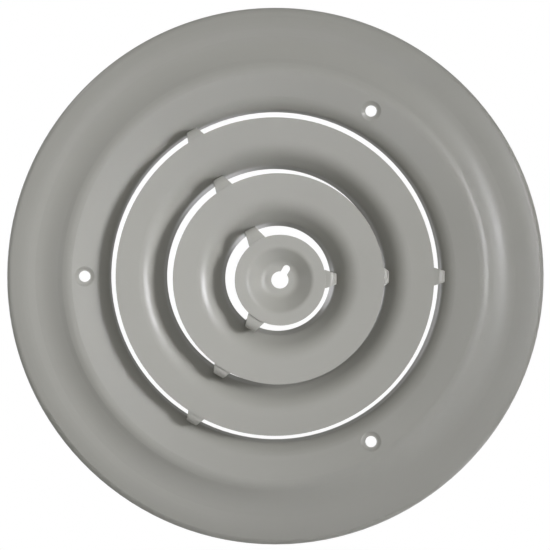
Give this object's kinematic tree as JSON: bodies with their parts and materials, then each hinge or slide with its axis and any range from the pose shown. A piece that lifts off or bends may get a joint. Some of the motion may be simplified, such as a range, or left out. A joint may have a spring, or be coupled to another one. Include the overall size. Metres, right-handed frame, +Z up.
{
  "type": "ceiling air diffuser",
  "caption": "Round step-down ceiling diffuser: a stamped steel frame with a duct neck, nested rings and a centre dish that spread supply air sideways under the ceiling.",
  "frame": {"origin": "on the diffuser's axis, in the plane of the ceiling that the frame's rim rests against, inside the duct neck", "axes": "+Z up the duct along the axis, so the face that the room sees looks down -Z; +X through the middle of the first bracket of each set"},
  "size_m": [0.3174, 0.3174, 0.057],
  "materials": {
    "frame_paint": "semi-gloss baked enamel on stamped steel",
    "ring_paint": "semi-gloss baked enamel on stamped steel",
    "strap_paint": "semi-gloss baked enamel on cut strip"
  },
  "bodies": {
    "root": {"outer_frame": "frame_paint", "mid_cone": "ring_paint", "inner_cone": "ring_paint", "centre_cone": "ring_paint", "outer_strap_1": "strap_paint", "outer_strap_2": "strap_paint", "outer_strap_3": "strap_paint", "middle_strap_1": "strap_paint", "middle_strap_2": "strap_paint", "middle_strap_3": "strap_paint", "inner_strap_1": "strap_paint", "inner_strap_2": "strap_paint", "inner_strap_3": "strap_paint"}
  },
  "joints": []
}
